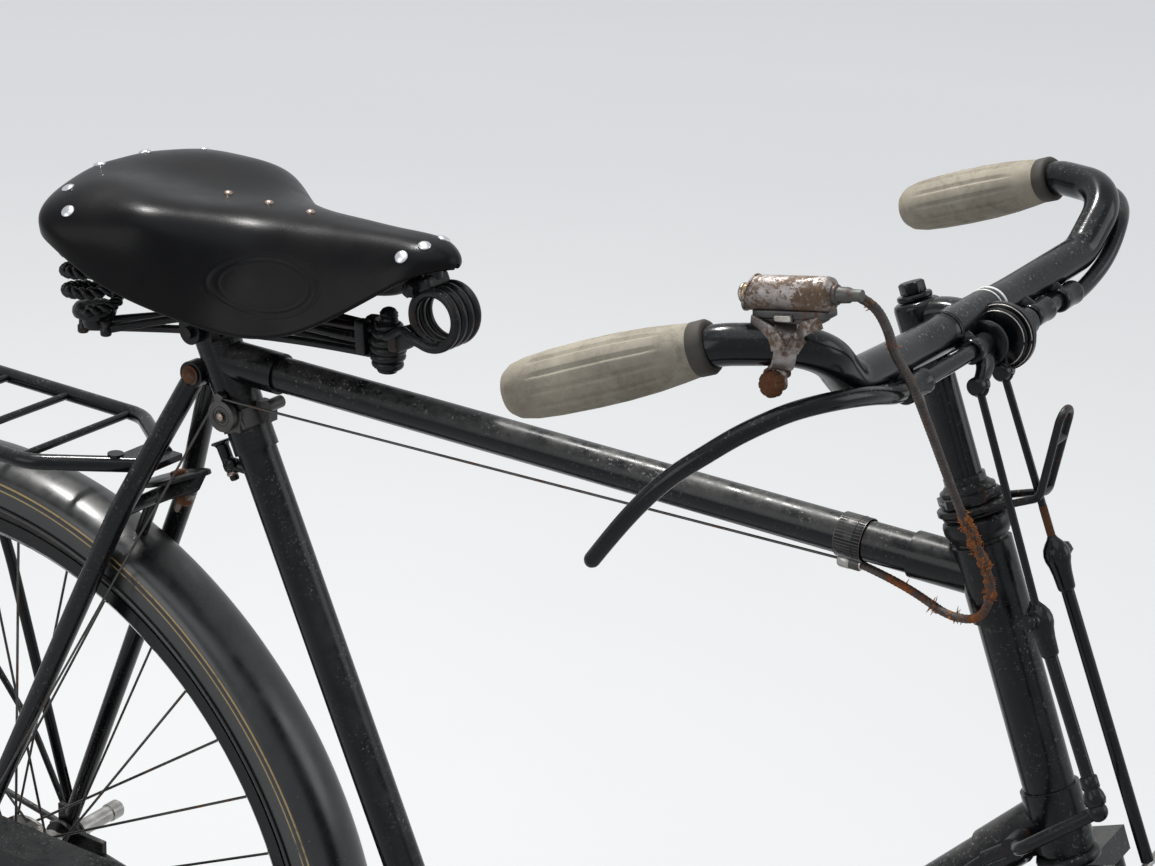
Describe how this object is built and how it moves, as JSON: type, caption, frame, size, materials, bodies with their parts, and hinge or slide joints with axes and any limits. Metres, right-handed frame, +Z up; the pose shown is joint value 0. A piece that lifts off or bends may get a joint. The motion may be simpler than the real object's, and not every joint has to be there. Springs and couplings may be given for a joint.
{
  "type": "roadster bicycle",
  "caption": "Old black roadster bicycle with rod brakes, hub gear, full chaincase, tubular rear carrier, sprung leather saddle and domed mudguards.",
  "frame": {"origin": "the rider's seat point on top of the saddle, above the seat pin", "axes": "+X forward, +Y to the rider's left, +Z up"},
  "size_m": [1.851, 0.5352, 1.0862],
  "materials": {
    "black_enamel": "gloss, chipped and dusty",
    "saddle_leather": "polished, with wear at the rear edge",
    "grip_rubber": "dry, ribbed along its length",
    "tyre": "dull",
    "dull_steel": "tarnished",
    "rusty_steel": "rusted",
    "black_rubber": "dull",
    "cable_cover": "frayed and rusty"
  },
  "bodies": {
    "frame": {"head_tube_and_lugs": "black_enamel", "top_tube": "black_enamel", "down_tube": "black_enamel", "seat_tube_and_lug": "black_enamel", "bottom_bracket_shell": "black_enamel", "chain_stays": "black_enamel", "seat_stays": "black_enamel", "seat_stay_bolt": "rusty_steel", "headset_cups": "black_enamel", "seat_pin": "dull_steel", "saddle_leather": "saddle_leather", "saddle_wires_and_cantle": "black_enamel", "saddle_clip": "black_enamel", "saddle_rear_springs": "black_enamel", "saddle_front_spring": "black_enamel", "rear_spindle_nuts_and_step": "rusty_steel", "rear_mudguard": "black_enamel", "rear_mudguard_stays": "black_enamel", "carrier": "black_enamel", "carrier_clamp": "black_enamel", "chaincase": "black_enamel", "chain": "dull_steel", "gear_cable_guides": "rusty_steel", "gear_wire": "dull_steel", "pump_peg": "black_enamel", "rear_brake_cranks": "black_enamel", "rear_brake_rod_lower": "black_enamel", "rear_brake_stirrup": "black_enamel", "rear_brake_blocks": "black_rubber"},
    "steering": {"fork": "black_enamel", "front_spindle_and_nuts": "rusty_steel", "front_mudguard": "black_enamel", "front_mudguard_stays": "black_enamel", "lamp_bracket": "black_enamel", "headset_locknut": "black_enamel", "handlebar_and_stem": "black_enamel", "grips": "grip_rubber", "brake_lever_right": "black_enamel", "brake_lever_left": "black_enamel", "rear_brake_rod_upper": "black_enamel", "front_brake_rod": "black_enamel", "front_brake_stirrup": "black_enamel", "front_brake_blocks": "black_rubber", "gear_control": "rusty_steel", "gear_cable": "cable_cover"},
    "front_wheel": {"front_wheel_tyre": "tyre", "front_wheel_rim": "black_enamel", "front_wheel_spokes": "dull_steel", "front_wheel_hub": "dull_steel"},
    "rear_wheel": {"rear_wheel_tyre": "tyre", "rear_wheel_rim": "black_enamel", "rear_wheel_spokes": "dull_steel", "rear_wheel_hub": "dull_steel", "rear_wheel_sprocket": "dull_steel"},
    "cranks": {"cranks_and_chainwheel": "dull_steel"},
    "pedal_right": {"pedal_right": "dull_steel", "pedal_rubbers_right": "black_rubber"},
    "pedal_left": {"pedal_left": "dull_steel", "pedal_rubbers_left": "black_rubber"}
  },
  "joints": [
    {"name": "steering_turn", "type": "hinge", "parent": "frame", "child": "steering", "pos_m": [0.585, 0, -0.122], "axis": [-0.3907, 0, 0.9205], "range_deg": [-50, 50], "deforming": ["gear_cable"]},
    {"name": "front_wheel_spin", "type": "hinge", "parent": "steering", "child": "front_wheel", "pos_m": [0.884, 0, -0.622], "axis": [0, 1, 0], "continuous": true},
    {"name": "rear_wheel_spin", "type": "hinge", "parent": "frame", "child": "rear_wheel", "pos_m": [-0.237, 0, -0.622], "axis": [0, 1, 0], "continuous": true},
    {"name": "crank_spin", "type": "hinge", "parent": "frame", "child": "cranks", "pos_m": [0.26, 0, -0.676], "axis": [0, 1, 0], "continuous": true},
    {"name": "pedal_right_spin", "type": "hinge", "parent": "cranks", "child": "pedal_right", "pos_m": [0.425, -0.09, -0.676], "axis": [0, 1, 0], "continuous": true},
    {"name": "pedal_left_spin", "type": "hinge", "parent": "cranks", "child": "pedal_left", "pos_m": [0.095, 0.09, -0.676], "axis": [0, 1, 0], "continuous": true}
  ]
}
